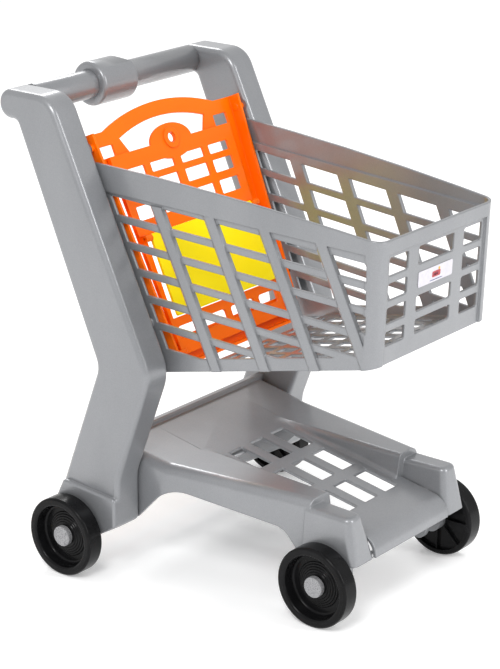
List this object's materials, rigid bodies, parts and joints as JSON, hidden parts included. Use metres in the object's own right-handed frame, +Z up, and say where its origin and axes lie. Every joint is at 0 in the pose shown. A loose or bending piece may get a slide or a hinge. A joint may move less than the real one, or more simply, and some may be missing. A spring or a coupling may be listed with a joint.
{
  "type": "toy shopping trolley",
  "caption": "Child's toy supermarket trolley with a slatted basket, swinging rear gate with fold-out doll seat, lower tray and free-turning wheels.",
  "frame": {"origin": "on the floor, under the middle of the whole trolley", "axes": "+X forward, +Y to the left side, +Z up"},
  "size_m": [0.4691, 0.398, 0.5403],
  "materials": {
    "silver_plastic": "silver-grey pearlescent moulded plastic, satin gloss",
    "orange_plastic": "bright orange moulded plastic, satin gloss",
    "yellow_plastic": "bright yellow moulded plastic, satin gloss",
    "black_plastic": "glossy black moulded plastic",
    "cap_grey": "light grey speckled plastic",
    "label_white": null,
    "steel": "plain steel rod and screws"
  },
  "bodies": {
    "root": {"right_arm": "silver_plastic", "left_arm": "silver_plastic", "handle_bar": "silver_plastic", "handle_collar": "silver_plastic", "basket": "silver_plastic", "base_tray": "silver_plastic", "front_label": "label_white", "rear_axle": "steel", "front_axle": "steel", "rear_right_cap": "cap_grey", "rear_left_cap": "cap_grey", "front_right_cap": "cap_grey", "front_left_cap": "cap_grey", "gate_stops": "silver_plastic", "tray_screws": "steel", "basket_screws": "steel", "handle_screws": "steel"},
    "rear_right_wheel": {"rear_right_wheel": "black_plastic"},
    "rear_left_wheel": {"rear_left_wheel": "black_plastic"},
    "front_right_wheel": {"front_right_wheel": "black_plastic"},
    "front_left_wheel": {"front_left_wheel": "black_plastic"},
    "rear_gate": {"rear_gate": "orange_plastic"},
    "seat_back": {"seat_back": "orange_plastic"},
    "seat_flap": {"seat_flap": "yellow_plastic"}
  },
  "joints": [
    {"name": "rear_right_wheel_spin", "type": "hinge", "parent": "root", "child": "rear_right_wheel", "pos_m": [-0.1245, -0.188, 0.045], "axis": [0, 1, 0], "continuous": true},
    {"name": "rear_left_wheel_spin", "type": "hinge", "parent": "root", "child": "rear_left_wheel", "pos_m": [-0.1245, 0.188, 0.045], "axis": [0, 1, 0], "continuous": true},
    {"name": "front_right_wheel_spin", "type": "hinge", "parent": "root", "child": "front_right_wheel", "pos_m": [0.1705, -0.1176, 0.045], "axis": [0, 1, 0], "continuous": true},
    {"name": "front_left_wheel_spin", "type": "hinge", "parent": "root", "child": "front_left_wheel", "pos_m": [0.1705, 0.1176, 0.045], "axis": [0, 1, 0], "continuous": true},
    {"name": "gate_swing", "type": "hinge", "parent": "root", "child": "rear_gate", "pos_m": [-0.13162, 0, 0.47084], "axis": [0, -1, 0], "range_deg": [0, 62]},
    {"name": "seat_tilt", "type": "hinge", "parent": "rear_gate", "child": "seat_back", "pos_m": [-0.0359, 0, 0.25216], "axis": [0, 1, 0], "range_deg": [0, 40]},
    {"name": "flap_fold", "type": "hinge", "parent": "seat_back", "child": "seat_flap", "pos_m": [-0.08177, 0, 0.3724], "axis": [0, 1, 0], "range_deg": [0, 75]}
  ]
}
